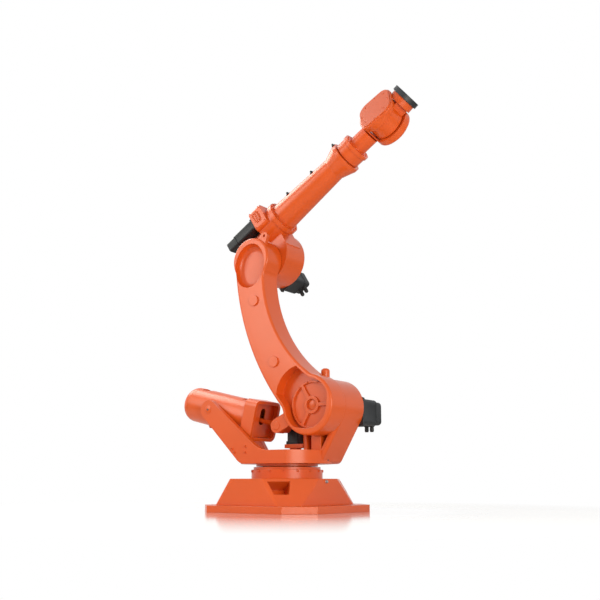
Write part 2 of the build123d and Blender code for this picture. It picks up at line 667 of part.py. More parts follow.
def forearm_tube():
    """Tapered forearm with a foot flange and a flare at the roll joint."""
    start = BARREL_FRONT
    profile = Polyline(
        (start, 0), (start, TUBE_FLANGE_R),
        (start + TUBE_FLANGE, TUBE_FLANGE_R), (start + TUBE_FLANGE, TUBE_R),
        (tube_end - FLARE_LENGTH, TUBE_END_R), (tube_end - FLARE_RIM, FLARE_R), (tube_end, FLARE_R),
        (tube_end, ROLL_SPIGOT_R + RUNNING_FIT), (tube_end - SPIGOT_DEPTH, ROLL_SPIGOT_R + RUNNING_FIT),
        (tube_end - SPIGOT_DEPTH, 0), close=True,
    )
    return elbow_frame * Location((0, 0, ELBOW_OFFSET)) * revolve(Plane.XZ * make_face(profile), Axis.X)


def wrist_collar():
    """Roll collar with its spigot, lip and neck, in the wrist's frame."""
    start = tube_end + JOINT_GAP - FOREARM_LENGTH
    lip = start + COLLAR_LENGTH - COLLAR_LIP
    profile = Polyline(
        (start - SPIGOT_DEPTH, 0), (start - SPIGOT_DEPTH, ROLL_SPIGOT_R),
        (start, ROLL_SPIGOT_R), (start, COLLAR_R),
        (lip, COLLAR_R), (lip, COLLAR_LIP_R), (lip + COLLAR_LIP, COLLAR_LIP_R), (lip + COLLAR_LIP, NECK_R),
        (-WRIST_R, NECK_R), (-WRIST_R, 0), close=True,
    )
    neck = revolve(Plane.XZ * make_face(profile), Axis.X)
    return wrist_frame * (neck - y_cylinder(WRIST_R, -WRIST_HALF, WRIST_HALF))


def wrist_case_face(inset):
    """Rounded-square outline of the wrist's near case, drawn in X and Z."""
    side = 2 * (WRIST_CASE_HALF - inset)
    face = RectangleRounded(side, side, WRIST_CASE_ROUND - inset)
    return Location((WRIST_CASE_FORWARD, 0)) * Rotation(0, 0, -WRIST_CASE_TURN) * face


def wrist_housing():
    """Fork of the bend joint: a round cheek and a squarish one, joined behind the tilting head."""
    drum = y_cylinder(WRIST_R, -WRIST_HALF, WRIST_HALF)
    drum = fillet(drum.edges().filter_by(GeomType.CIRCLE), WRIST_ROUND)
    slot = y_cylinder(WRIST_R + JOINT_GAP, -WRIST_SLOT, WRIST_SLOT)
    depth = WRIST_R - TILT_R - JOINT_GAP
    bridge = Location((-WRIST_R + depth / 2, 0, 0)) * Box(depth, 2 * WRIST_SLOT, 2 * WRIST_BRIDGE)
    case = side_slab(wrist_case_face(0), -WRIST_HALF, -TILT_THROAT_R - JOINT_GAP)
    case = fillet(case.faces().sort_by(Axis.Y)[0].edges(), WRIST_CASE_EDGE)
    return wrist_frame * (drum - slot + (bridge & drum) + case)


def wrist_cover_near():
    """Squarish cover on the near cheek of the wrist."""
    face = wrist_case_face(WRIST_CASE_EDGE + RUNNING_FIT)
    plate = side_slab(face, -WRIST_HALF - SIDE_COVER_THICK, -WRIST_HALF)
    outer = plate.faces().sort_by(Axis.Y)[0]
    return wrist_frame * fillet(outer.edges(), SIDE_COVER_THICK / 2)


def wrist_cover_far():
    """Round cover on the far cheek of the wrist."""
    plate = y_cylinder(SIDE_COVER_R, WRIST_HALF, WRIST_HALF + SIDE_COVER_THICK)
    outer = plate.faces().sort_by(Axis.Y)[-1]
    return wrist_frame * fillet(outer.edges(), SIDE_COVER_THICK / 2)


def tilt_head():
    """Tilting head between the cheeks, with the round throat that carries the tool flange."""
    half = WRIST_SLOT - JOINT_GAP
    boss = WRIST_SLOT - RUNNING_FIT
    head = y_cylinder(TILT_R, -half, half) + y_cylinder(TILT_PIN_R, -boss, boss)
    reach = WRIST_R + 2 * JOINT_GAP
    head += Location((reach / 2, 0, 0)) * Box(reach, 2 * half, 2 * TILT_BRIDGE)
    throat_end = FLANGE_REACH - FLANGE_THICK - RUNNING_FIT
    return tilt_frame * (head + x_cylinder(TILT_THROAT_R, WRIST_R + JOINT_GAP, throat_end))


def tool_flange():
    """Tool flange with a bolt circle and a locating bore."""
    start = FLANGE_REACH - FLANGE_THICK
    disc = x_cylinder(FLANGE_R, start, FLANGE_REACH)
    disc -= x_cylinder(FLANGE_BORE_R, FLANGE_REACH - FLANGE_BORE_DEPTH, FLANGE_REACH)
    for place in PolarLocations(FLANGE_PCD / 2, FLANGE_HOLES):
        y, z = place.position.X, place.position.Y
        disc -= x_cylinder(FLANGE_HOLE_R, FLANGE_REACH - FLANGE_HOLE_DEPTH, FLANGE_REACH, y, z)
    return tilt_frame * disc


def waist_bracket():
    """Shelf that stands out from the shoulder's rear wall and carries the waist motor on a gear housing."""
    reach = shoulder_rear + SHOULDER_WALL - waist_motor_x + WAIST_MOTOR_HALF + SHELF_MARGIN
    width = 2 * (WAIST_MOTOR_HALF + SHELF_MARGIN)
    middle = shoulder_rear + SHOULDER_WALL - reach / 2
    shelf = extrude(Rectangle(reach, width), amount=-WAIST_SHELF)
    gears = extrude(Circle(WAIST_GEAR_R), amount=floor_top - shelf_top)
    bracket = Location((middle, WAIST_MOTOR_Y, shelf_top)) * shelf
    bracket += Location((waist_motor_x, WAIST_MOTOR_Y, shelf_top)) * gears
    return bracket - side_slab(shoulder_outline(), drum_near, drum_far)


def waist_motor():
    """Upright motor on the waist bracket."""
    seat = Location((waist_motor_x, WAIST_MOTOR_Y, shelf_top))
    return seat * square_motor(WAIST_MOTOR_HALF, WAIST_MOTOR_LENGTH)


def shoulder_motor():
    """Motor on the far face of the shoulder drum."""
    return shoulder_motor_seat * square_motor(SHOULDER_MOTOR_HALF, SHOULDER_MOTOR_LENGTH)


def elbow_motor():
    """Motor on the far face of the elbow drum."""
    return elbow_motor_seat * square_motor(ELBOW_MOTOR_HALF, ELBOW_MOTOR_LENGTH)


def wrist_motor(place):
    """One of the row of motors that point back from the gear case, counted from the middle one."""
    seat = elbow_frame * Location((CASE_REAR, place * WRIST_MOTOR_SPACING, ELBOW_OFFSET + WRIST_MOTOR_RISE))
    return seat * Rotation(0, -90, 0) * square_motor(WRIST_MOTOR_HALF, WRIST_MOTOR_LENGTH)


elbow = elbow_body()
shoulder_plugs = motor_plugs(SHOULDER_MOTOR_HALF, SHOULDER_MOTOR_LENGTH)
elbow_plugs = motor_plugs(ELBOW_MOTOR_HALF, ELBOW_MOTOR_LENGTH)
near_pin, far_pin = trunnion_pins()
pieces = {
    "base_plate": base_plate(),
    "base_pedestal": base_pedestal(),
    "base_bearing_ring": bearing_ring(),
    "turntable_ring": turntable_ring(),
    "turntable_casting": turntable_casting(),
    "shoulder_stop": shoulder_stop(),
    "trunnion_pin_near": near_pin,
    "trunnion_pin_far": far_pin,
    "waist_bracket": waist_bracket(),
    "waist_motor": waist_motor(),
    "shoulder_motor": shoulder_motor(),
    "shoulder_power_plug": shoulder_motor_seat * shoulder_plugs[0],
    "shoulder_signal_plug": shoulder_motor_seat * shoulder_plugs[1],
    "balancer_cylinder": balancer_cylinder(),
    "balancer_rear_cap": balancer_rear_cap(),
    "balancer_front_block": balancer_front_block(),
    "balancer_rod": balancer_rod(),
    "lower_arm_casting": lower_arm_casting(),
    "shoulder_gear_cover": shoulder_gear_cover(),
    "balancer_pin": balancer_pin(),
    "elbow_casting": elbow_frame * elbow,
    "motor_gear_case": motor_gear_case(elbow),
    "elbow_motor": elbow_motor(),
    "elbow_power_plug": elbow_motor_seat * elbow_plugs[0],
    "elbow_signal_plug": elbow_motor_seat * elbow_plugs[1],
    "wrist_motor_near": wrist_motor(-1),
    "wrist_motor_middle": wrist_motor(0),
    "wrist_motor_far": wrist_motor(1),
    "forearm_tube": forearm_tube(),
    "wrist_collar": wrist_collar(),
    "wrist_housing": wrist_housing(),
    "wrist_cover_near": wrist_cover_near(),
    "wrist_cover_far": wrist_cover_far(),
    "wrist_tilt_head": tilt_head(),
    "tool_flange": tool_flange(),
}

os.makedirs("parts", exist_ok=True)
for name, shape in pieces.items():
    export_step(shape, f"parts/{name}.step")
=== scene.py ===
"""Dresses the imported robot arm: paint and metal finishes, motors, plugs, screws, caps, clips, and a pale studio."""
import json
import math

import bmesh
import bpy
from bpy.props import FloatProperty, FloatVectorProperty, IntProperty, PointerProperty
from mathutils import Matrix, Vector


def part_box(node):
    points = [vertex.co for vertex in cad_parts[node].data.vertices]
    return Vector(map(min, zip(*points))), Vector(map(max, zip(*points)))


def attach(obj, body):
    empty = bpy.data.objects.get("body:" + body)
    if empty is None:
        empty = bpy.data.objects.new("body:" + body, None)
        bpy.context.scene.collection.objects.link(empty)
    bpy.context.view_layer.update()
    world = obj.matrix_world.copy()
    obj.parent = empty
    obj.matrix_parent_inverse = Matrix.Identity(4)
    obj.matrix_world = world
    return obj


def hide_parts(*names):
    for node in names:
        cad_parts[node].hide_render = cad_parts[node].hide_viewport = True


bl_info = {
    "name": "Robot Arm Dresser",
    "version": (1, 0, 0),
    "blender": (4, 5, 0),
    "location": "3D View > Sidebar > Robot",
    "description": "Finishes and small fittings for a six-axis industrial robot arm",
    "category": "Object",
}

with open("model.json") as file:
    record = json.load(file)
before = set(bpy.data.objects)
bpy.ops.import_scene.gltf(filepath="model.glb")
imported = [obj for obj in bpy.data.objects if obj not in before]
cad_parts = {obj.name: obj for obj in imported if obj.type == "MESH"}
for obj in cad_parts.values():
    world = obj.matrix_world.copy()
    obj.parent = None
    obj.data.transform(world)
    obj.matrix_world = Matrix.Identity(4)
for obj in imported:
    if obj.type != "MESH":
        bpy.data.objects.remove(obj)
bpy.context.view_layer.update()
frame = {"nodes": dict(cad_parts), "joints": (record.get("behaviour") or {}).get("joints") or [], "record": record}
JOINTS = {joint["name"]: joint for joint in frame["joints"]}


def pivot(name):
    """Where a joint's axis passes, in metres."""
    return Vector(JOINTS[name]["pos_m"])


def axes(origin, x=None, y=(0, 1, 0), z=None):
    """Matrix of a frame from its origin, its Y axis, and one other axis."""
    y = Vector(y).normalized()
    x = Vector(x).normalized() if x is not None else y.cross(Vector(z).normalized())
    turn = Matrix((x, y, x.cross(y))).transposed().to_4x4()
    return Matrix.Translation(origin) @ turn


SHOULDER = pivot("shoulder_swing")
ELBOW = pivot("elbow_swing")
ROLL_AXIS = Vector(JOINTS["wrist_roll"]["axis"])
BEND_AXIS = Vector(JOINTS["wrist_bend"]["axis"])
WORLD_FRAME = Matrix.Identity(4)
ARM_FRAME = axes(SHOULDER, z=ELBOW - SHOULDER)
FOREARM_FRAME = axes(ELBOW, x=ROLL_AXIS)
WRIST_FRAME = axes(pivot("wrist_bend"), x=ROLL_AXIS, y=-BEND_AXIS)
BALANCER_FRAME = axes(pivot("balancer_rock"), x=pivot("rod_pivot") - pivot("balancer_rock"))
# Height of the forearm's axis above the elbow's, in the forearm's own frame
TUBE_RISE = (FOREARM_FRAME.inverted() @ pivot("wrist_bend")).z
TUBE_FRAME = FOREARM_FRAME @ Matrix.Translation((0, 0, TUBE_RISE))


class RobotPaint(bpy.types.PropertyGroup):
    """Colours of the robot's finishes."""
    orange: FloatVectorProperty(
        name="Orange paint", description="Body paint", subtype="COLOR", size=4, min=0, max=1,
        default=(0.69, 0.095, 0.01, 1))
    # Paler edge colour: wear on the edges, and also a painted highlight along them.
    wear_and_highlight: FloatVectorProperty(
        name="Rubbed paint", description="Body paint where edges are rubbed paler", subtype="COLOR", size=4,
        min=0, max=1, default=(0.8, 0.22, 0.07, 1))
    black: FloatVectorProperty(
        name="Motor paint", description="Paint of the motors", subtype="COLOR", size=4, min=0, max=1,
        default=(0.017, 0.019, 0.022, 1))
    flange: FloatVectorProperty(
        name="Flange steel", description="Dark finish of the tool flange", subtype="COLOR", size=4, min=0, max=1,
        default=(0.06, 0.063, 0.067, 1))
    steel: FloatVectorProperty(
        name="Screw steel", description="Screws and pins", subtype="COLOR", size=4, min=0, max=1,
        default=(0.36, 0.36, 0.37, 1))
    plastic: FloatVectorProperty(
        name="Black plastic", description="Plugs, clips and grommets", subtype="COLOR", size=4, min=0, max=1,
        default=(0.014, 0.015, 0.017, 1))
    floor: FloatVectorProperty(
        name="Floor", description="Studio floor", subtype="COLOR", size=4, min=0, max=1,
        default=(0.8, 0.8, 0.8, 1))


class RobotFittings(bpy.types.PropertyGroup):
    """Sizes and numbers of the small fittings."""
    screw: FloatProperty(
        name="Screw head", description="Radius of a small socket screw's head", unit="LENGTH", default=0.0055)
    bolt: FloatProperty(
        name="Bolt head", description="Radius of a large socket bolt's head", unit="LENGTH", default=0.0105)
    bearing_screws: IntProperty(
        name="Bearing screws", description="Screws round the waist bearing", default=16, min=3)
    cover_screws: IntProperty(
        name="Cover screws", description="Screws round the gear cover", default=12, min=3)
    flange_screws: IntProperty(
        name="Flange screws", description="Screws round the forearm's foot flange", default=16, min=3)
    collar_screws: IntProperty(
        name="Collar screws", description="Screws round the roll collar", default=12, min=3)
    clip: FloatProperty(
        name="Hose clip", description="Inner radius of a hose clip", unit="LENGTH", default=0.011)


class RobotStudio(bpy.types.PropertyGroup):
    """Camera and lights."""
    eye: FloatVectorProperty(
        name="Camera place", description="Where the camera stands", subtype="TRANSLATION", unit="LENGTH", size=3,
        default=(3.4504, -4.6122, 0.1996))
    heading: FloatVectorProperty(
        name="Camera heading", description="Level direction the camera looks in", size=3,
        default=(-0.5848, 0.8111, 0))
    tilt: FloatProperty(
        name="Camera tilt", description="Angle the camera looks up", subtype="ANGLE", default=math.radians(12.345))
    lens: FloatProperty(
        name="Lens", description="Focal length", subtype="DISTANCE_CAMERA", default=49.65)
    shift: FloatProperty(
        name="Lens shift", description="Sideways shift of the lens", default=-2 / 600)
    key: FloatProperty(
        name="Key light", description="Power of the large light at the left", subtype="POWER", default=100)
    fill: FloatProperty(
        name="Fill light", description="Power of the light at the right", subtype="POWER", default=188)
    top: FloatProperty(
        name="Top light", description="Power of the overhead light", subtype="POWER", default=138)
    sky: FloatProperty(
        name="Sky", description="Strength of the even light all round", default=0.42)


class Wire:
    """A shader socket that can be used in Python expressions."""

    def __init__(self, shade, socket):
        self.shade = shade
        self.socket = socket

    def join(self, operation, other, swap=False):
        pair = (other, self) if swap else (self, other)
        return self.shade.add("ShaderNodeMath", {"operation": operation}, {0: pair[0], 1: pair[1]})

    def __add__(self, other):
        return self.join("ADD", other)

    def __radd__(self, other):
        return self.join("ADD", other, True)

    def __sub__(self, other):
        return self.join("SUBTRACT", other)

    def __rsub__(self, other):
        return self.join("SUBTRACT", other, True)

    def __mul__(self, other):
        return self.join("MULTIPLY", other)

    def __rmul__(self, other):
        return self.join("MULTIPLY", other, True)

    def __truediv__(self, other):
        return self.join("DIVIDE", other)

    def __rtruediv__(self, other):
        return self.join("DIVIDE", other, True)


class Shade:
    """Builds the nodes of one material, or of the world."""

    def __init__(self, owner):
        owner.use_nodes = True
        self.owner = owner
        self.tree = owner.node_tree
        self.tree.nodes.clear()

    def add(self, kind, settings=None, inputs=None, output=0):
        """Add a node, set it up, feed its sockets, and return one of its outputs."""
        node = self.tree.nodes.new(kind)
        for key, value in (settings or {}).items():
            if key == "stops":
                self.set_stops(node.color_ramp, value)
            else:
                setattr(node, key, value)
        for key, value in (inputs or {}).items():
            if isinstance(value, Wire):
                self.tree.links.new(value.socket, node.inputs[key])
            else:
                node.inputs[key].default_value = value
        return Wire(self, node.outputs[output]) if node.outputs else None

    def set_stops(self, ramp, stops):
        while len(ramp.elements) < len(stops):
            ramp.elements.new(1.0)
        for element, (place, level) in zip(ramp.elements, stops):
            element.position = place
            element.color = (level, level, level, 1)

    def place(self):
        return self.add("ShaderNodeTexCoord", output="Object")

    def noise(self, scale, detail=3.0, rough=0.5, stretch=None):
        spot = self.place()
        if stretch:
            spot = self.add("ShaderNodeMapping", inputs={"Vector": spot, "Scale": stretch})
        return self.add("ShaderNodeTexNoise", inputs={
            "Vector": spot, "Scale": scale, "Detail": detail, "Roughness": rough})

    def ramp(self, value, *stops):
        return self.add("ShaderNodeValToRGB", {"stops": stops}, {"Fac": value})

    def mix(self, share, first, second):
        return self.add("ShaderNodeMix", {"data_type": "RGBA"}, {0: share, 6: first, 7: second}, output=2)

    def height(self):
        return self.add("ShaderNodeSeparateXYZ", inputs={0: self.place()}, output="Z")

    def edge(self, radius):
        """How far the surface turns within a radius, 0 on flats, and the normal rounded over that radius."""
        soft = self.add("ShaderNodeBevel", {"samples": 6}, {"Radius": radius})
        true = self.add("ShaderNodeNewGeometry", output="Normal")
        along = self.add("ShaderNodeVectorMath", {"operation": "DOT_PRODUCT"}, {0: soft, 1: true}, output="Value")
        return 1 - along, soft

    def bump(self, strength, distance, height, normal=None):
        inputs = {"Strength": strength, "Distance": distance, "Height": height}
        if normal:
            inputs["Normal"] = normal
        return self.add("ShaderNodeBump", inputs=inputs)

    def finish(self, **inputs):
        """Put a Principled shader at the end, with sockets named in lower case."""
        named = {key.replace("_", " ").title().replace("Ior", "IOR"): value for key, value in inputs.items()}
        self.end(self.add("ShaderNodeBsdfPrincipled", inputs=named, output="BSDF"))
        return self.owner

    def end(self, shader, kind="ShaderNodeOutputMaterial"):
        self.add(kind, inputs={"Surface": shader})


def shaded(color, factor):
    """A colour made darker or lighter."""
    return tuple(min(1.0, c * factor) for c in color[:3]) + (1.0,)


def body_paint(s, color, wear_and_highlight):
    """Sprayed paint on castings: faint mottling, orange peel, paler edges (wear and a painted highlight), darker near
    the floor.
    """
    mottled = s.ramp(s.noise(2.2, 4, 0.6), (0.3, 0.0), (0.72, 1.0))
    base = s.mix(mottled, shaded(color, 0.96), shaded(color, 1.03))
    edge_turn, soft = s.edge(0.004)
    scuffs = s.ramp(s.noise(38, 5, 0.7), (0.44, 0.0), (0.62, 1.0))
    # Paler edges: paint wear, and also a painted highlight along the edges.
    pale_edges = s.ramp(edge_turn, (0.08, 0.0), (0.34, 1.0)) * (0.2 + 0.5 * scuffs)
    base = s.mix(pale_edges, base, wear_and_highlight)
    # Colour made darker towards the floor.
    floor_darkening = s.ramp(s.height() + 0.05 * s.noise(9, 4, 0.6), (0.025, 0.22), (0.1, 0.0))
    base = s.mix(floor_darkening, base, shaded(color, 0.5))
    skin = s.bump(0.05, 0.001, s.noise(60, 3, 0.5), soft)
    rough = 0.25 + 0.08 * s.noise(5, 4, 0.6) + 0.12 * pale_edges
    return s.finish(base_color=base, roughness=rough, normal=skin, specular_ior_level=0.42)


def motor_paint(s, color):
    """Matt black paint of the servo motors, grey where edges are scuffed."""
    edge_turn, soft = s.edge(0.003)
    pale_edges = s.ramp(edge_turn, (0.05, 0.0), (0.35, 0.7)) * s.ramp(s.noise(60, 4, 0.7), (0.4, 0.1), (0.6, 1.0))
    base = s.mix(s.noise(7, 4, 0.6), shaded(color, 0.8), shaded(color, 1.3))
    base = s.mix(pale_edges, base, (0.15, 0.16, 0.17, 1))
    skin = s.bump(0.18, 0.0008, s.noise(320, 3, 0.6), soft)
    rough = 0.44 + 0.14 * s.noise(14, 3, 0.5)
    return s.finish(base_color=base, roughness=rough, normal=skin, specular_ior_level=0.3)


def turned_steel(s, color):
    """Machined steel with fine tool marks and bright edges."""
    marks = s.noise(90, 3, 0.7, (1, 1, 9))
    base = s.mix(marks, shaded(color, 0.75), shaded(color, 1.2))
    edge_turn, soft = s.edge(0.0025)
    base = s.mix(s.ramp(edge_turn, (0.05, 0.0), (0.35, 0.6)), base, (0.5, 0.5, 0.51, 1))
    skin = s.bump(0.12, 0.0005, marks, soft)
    return s.finish(base_color=base, metallic=0.85, roughness=0.32 + 0.2 * s.noise(30, 3, 0.5), normal=skin)


def moulded_plastic(s, color):
    """Black moulded plastic with a fine grain."""
    base = s.mix(s.noise(20, 3, 0.5), shaded(color, 0.8), shaded(color, 1.5))
    skin = s.bump(0.15, 0.0004, s.noise(500, 2, 0.5))
    return s.finish(base_color=base, roughness=0.48 + 0.12 * s.noise(40, 2, 0.5), normal=skin)


def studio_floor(s, color):
    """Pale floor: keeps the shadow, mirrors the foot where it is seen edge on, and runs out to plain white."""
    path = s.tree.nodes.new("ShaderNodeLightPath")
    seen = Wire(s, path.outputs["Is Camera Ray"])
    reach = s.add("ShaderNodeVectorMath", {"operation": "LENGTH"}, {0: s.place()}, output="Value")
    away = s.ramp(reach / 4.0, (0.3, 0.0), (0.7, 1.0))
    patch = s.mix(s.noise(0.7, 3, 0.5), shaded(color, 0.985), color)
    matt = s.add("ShaderNodeBsdfDiffuse", inputs={"Color": patch}, output="BSDF")
    glow = s.add("ShaderNodeEmission", inputs={"Color": (1, 1, 1, 1), "Strength": 0.3 * seen})
    close = s.add("ShaderNodeAddShader", inputs={0: matt, 1: glow})
    white = s.add("ShaderNodeEmission", inputs={"Color": (1, 1, 1, 1), "Strength": 1.0})
    base = s.add("ShaderNodeMixShader", inputs={0: away * seen, 1: close, 2: white})
    gloss = s.add("ShaderNodeBsdfGlossy", inputs={"Color": (1, 1, 1, 1), "Roughness": 0.1}, output="BSDF")
    edge_on = s.ramp(s.add("ShaderNodeLayerWeight", output="Facing"), (0.84, 0.0), (0.95, 1.0))
    near = s.ramp(reach / 4.0, (0.24, 0.9), (0.62, 0.0))
    s.end(s.add("ShaderNodeMixShader", inputs={0: near * edge_on, 1: base, 2: gloss}))
    return s.owner


def finishes():
    """The robot's materials, made once and then looked up."""
    paint = bpy.context.scene.robot_paint
    makers = {
        "orange_casting": lambda s: body_paint(s, paint.orange, paint.wear_and_highlight),
        "orange_cover": lambda s: body_paint(s, shaded(paint.orange, 0.97), paint.wear_and_highlight),
        "motor_black": lambda s: motor_paint(s, paint.black),
        "flange_steel": lambda s: turned_steel(s, paint.flange),
        "pin_steel": lambda s: turned_steel(s, paint.steel),
        "connector_black": lambda s: moulded_plastic(s, paint.plastic),
    }
    for name, maker in makers.items():
        if name + "_finish" not in bpy.data.materials:
            maker(Shade(bpy.data.materials.new(name + "_finish")))
    return {name: bpy.data.materials[name + "_finish"] for name in makers}


def add_piece(bm, name, body, slot, replaces=(), smooth=35):
    """Turn a bmesh into a piece that rides on a body, with its slot's finish, and hide the CAD nodes it stands for.
    """
    bmesh.ops.remove_doubles(bm, verts=bm.verts, dist=1e-6)
    bmesh.ops.recalc_face_normals(bm, faces=bm.faces)
    for face in bm.faces:
        face.smooth = True
    for edge in bm.edges:
        edge.smooth = edge.calc_face_angle(0.0) < math.radians(smooth)
    mesh = bpy.data.meshes.new(name)
    bm.to_mesh(mesh)
    bm.free()
    piece = bpy.data.objects.new(name, mesh)
    bpy.context.scene.collection.objects.link(piece)
    mesh.materials.append(finishes()[slot])
    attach(piece, body)
    if replaces:
        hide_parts(*replaces)


def put(bm, shape, matrix):
    """Copy a finished shape into a piece's bmesh, through a matrix."""
    mesh = bpy.data.meshes.new("shape")
    shape.to_mesh(mesh)
    mesh.transform(matrix)
    bm.from_mesh(mesh)
    bpy.data.meshes.remove(mesh)


def cut(bm, tool):
    """Take one closed shape out of another."""
    whole, part = (bpy.data.objects.new(name, bpy.data.meshes.new(name)) for name in ("whole", "part"))
    for source, holder in ((bm, whole), (tool, part)):
        bmesh.ops.recalc_face_normals(source, faces=source.faces)
        source.to_mesh(holder.data)
        source.free()
        bpy.context.scene.collection.objects.link(holder)
    step = whole.modifiers.new("cut", "BOOLEAN")
    step.operation, step.solver, step.object = "DIFFERENCE", "EXACT", part
    mesh = bpy.data.meshes.new_from_object(whole.evaluated_get(bpy.context.evaluated_depsgraph_get()))
    result = bmesh.new()
    result.from_mesh(mesh)
    for holder in (whole, part):
        bpy.data.meshes.remove(holder.data)
    bpy.data.meshes.remove(mesh)
    return result


def facing(point, direction):
    """Matrix that puts a shape made along +Z at a point, along a direction."""
    turn = Vector((0, 0, 1)).rotation_difference(Vector(direction).normalized())
    return Matrix.Translation(point) @ turn.to_matrix().to_4x4()


def lathe(profile, steps=32):
    """Spin an outline of (radius, height) points about Z; a radius of 0 closes an end."""
    bm = bmesh.new()
    verts = [bm.verts.new((radius, 0, height)) for radius, height in profile]
    edges = [bm.edges.new(pair) for pair in zip(verts, verts[1:])]
    bmesh.ops.spin(
        bm, geom=verts + edges, cent=(0, 0, 0), axis=(0, 0, 1), angle=2 * math.pi, steps=steps, use_merge=True)
    bmesh.ops.remove_doubles(bm, verts=bm.verts, dist=1e-6)
    bmesh.ops.recalc_face_normals(bm, faces=bm.faces)
    return bm


def grow(bm, stations):
    """Extrude the only face up through (size, height) stations, of which the face is the first."""
    size, low = stations[0]
    first = face = next(iter(bm.faces))
    for wide, level in stations[1:]:
        below = face
        grown = bmesh.ops.extrude_face_region(bm, geom=[below])["geom"]
        face = next(item for item in grown if isinstance(item, bmesh.types.BMFace))
        if below is not first and below.is_valid:
            bm.faces.remove(below)
        bmesh.ops.scale(bm, verts=face.verts, vec=(wide / size, wide / size, 1))
        bmesh.ops.translate(bm, verts=face.verts, vec=(0, 0, level - low))
        size, low = wide, level
    bmesh.ops.recalc_face_normals(bm, faces=bm.faces)


def stack(corner, stations):
    """Column of rounded squares along +Z, through (half side, height) stations, rounded by a share of the half."""
    bm = bmesh.new()
    half, low = stations[0]
    bmesh.ops.create_grid(bm, x_segments=1, y_segments=1, size=half)
    bmesh.ops.bevel(
        bm, geom=list(bm.verts), offset=corner * half, segments=5, affect="VERTICES", profile=0.5, material=-1)
    bmesh.ops.translate(bm, verts=bm.verts, vec=(0, 0, low))
    grow(bm, stations)
    return bm


def slab(length, width, height, corner, edge):
    """Flat block on Z = 0 with rounded corners and a softened top edge."""
    bm = bmesh.new()
    bmesh.ops.create_cube(bm, size=1.0)
    bmesh.ops.scale(bm, verts=bm.verts, vec=(length, width, height))
    bmesh.ops.translate(bm, verts=bm.verts, vec=(0, 0, height / 2))
    upright = [e for e in bm.edges if abs(e.verts[0].co.z - e.verts[1].co.z) > height / 2]
    bmesh.ops.bevel(bm, geom=upright, offset=corner, segments=5, affect="EDGES", profile=0.5, material=-1)
    top = top_face(bm)
    bmesh.ops.bevel(
        bm, geom=list(top.edges), offset=edge, segments=2, affect="EDGES", profile=0.5, material=-1)
    return bm


def top_face(bm):
    """The highest face that looks up."""
    bm.normal_update()
    return max((f for f in bm.faces if f.normal.z > 0.9), key=lambda f: f.calc_center_median().z)


def socket_screw(radius, height):
    """Socket-head screw along +Z, its rim chamfered and its socket sunk."""
    return lathe((
        (0, 0.4 * height), (0.46 * radius, 0.4 * height), (0.5 * radius, height), (0.86 * radius, height),
        (radius, 0.86 * height), (radius, -0.3 * height), (0, -0.3 * height)), 18)


def hex_bolt(radius, height):
    """Hexagon bolt along +Z on a washer."""
    bm = lathe((
        (0, 0.3 * height), (1.35 * radius, 0.3 * height), (1.5 * radius, 0.2 * height),
        (1.5 * radius, -0.2 * height), (0, -0.2 * height)), 24)
    head = bmesh.new()
    bmesh.ops.create_cone(
        head, cap_ends=True, segments=6, radius1=1.1 * radius, radius2=1.1 * radius, depth=0.8 * height)
    bmesh.ops.translate(head, verts=head.verts, vec=(0, 0, 0.6 * height))
    rim = list(top_face(head).edges)
    bmesh.ops.bevel(
        head, geom=rim, offset=0.12 * radius, segments=2, affect="EDGES", profile=0.5, material=-1)
    put(bm, head, Matrix.Identity(4))
    head.free()
    return bm


def scatter(name, body, slot, shape, places):
    """One piece made of copies of a shape, each at a point and facing a direction."""
    bm = bmesh.new()
    for point, direction in places:
        put(bm, shape, facing(point, direction))
    shape.free()
    add_piece(bm, name, body, slot)


def spot(matrix, point, direction):
    """A point and a direction of a frame, in the world's."""
    return matrix @ Vector(point), matrix.to_3x3() @ Vector(direction)


def ring(matrix, axis, radius, along, count, first=0.0, outward=False, sign=1):
    """Places on a circle about a frame's axis, facing along the axis or outward."""
    order = {"X": (2, 0, 1), "Y": (1, 2, 0), "Z": (0, 1, 2)}[axis]
    places = []
    for k in range(count):
        turn = first + 2 * math.pi * k / count
        point = (radius * math.cos(turn), radius * math.sin(turn), along)
        look = (math.cos(turn), math.sin(turn), 0) if outward else (0, 0, sign)
        places.append(spot(matrix, [point[i] for i in order], [look[i] for i in order]))
    return places


LEFT = Vector((0, 1, 0))
UP = Vector((0, 0, 1))
FOREARM_UP = ROLL_AXIS.cross(LEFT)

# Servo motors: flange and groove in metres, the case's end as a share of the length, and the half sides of
# the case and the encoder end as shares of the flange's
MOTOR_FLANGE = 0.016
MOTOR_GROOVE = 0.006
MOTOR_CASE_END = 0.72
MOTOR_CASE = 0.92
MOTOR_END = 0.82
PLUG_PITCH = 0.042


def seat(origin, along, plugs):
    """Frame of a motor's mounting face."""
    return axes(origin, x=Vector(plugs).cross(Vector(along)), y=plugs)


def wrist_seat(across):
    """Frame of a wrist motor's mounting face, so far to the left of the forearm's middle."""
    return seat(TUBE_FRAME @ Vector((0.125, across, 0.06)), -ROLL_AXIS, LEFT)


# Node, body, half side, length, and the seat's frame with the motor along +Z and its plugs at +Y
MOTORS = (
    ("waist_motor", "turntable", 0.048, 0.230, seat((0.057, 0.020, 0.445), UP, LEFT)),
    ("shoulder_motor", "turntable", 0.098, 0.275, seat((0.394, 0.200, 0.662), LEFT, -UP)),
    ("elbow_motor", "forearm", 0.078, 0.220,
     seat(FOREARM_FRAME @ Vector((-0.018, 0.170, -0.062)), LEFT, -FOREARM_UP)),
    ("wrist_motor_near", "forearm", 0.044, 0.285, wrist_seat(-0.09)),
    ("wrist_motor_middle", "forearm", 0.044, 0.285, wrist_seat(0)),
    ("wrist_motor_far", "forearm", 0.044, 0.285, wrist_seat(0.09)),
)

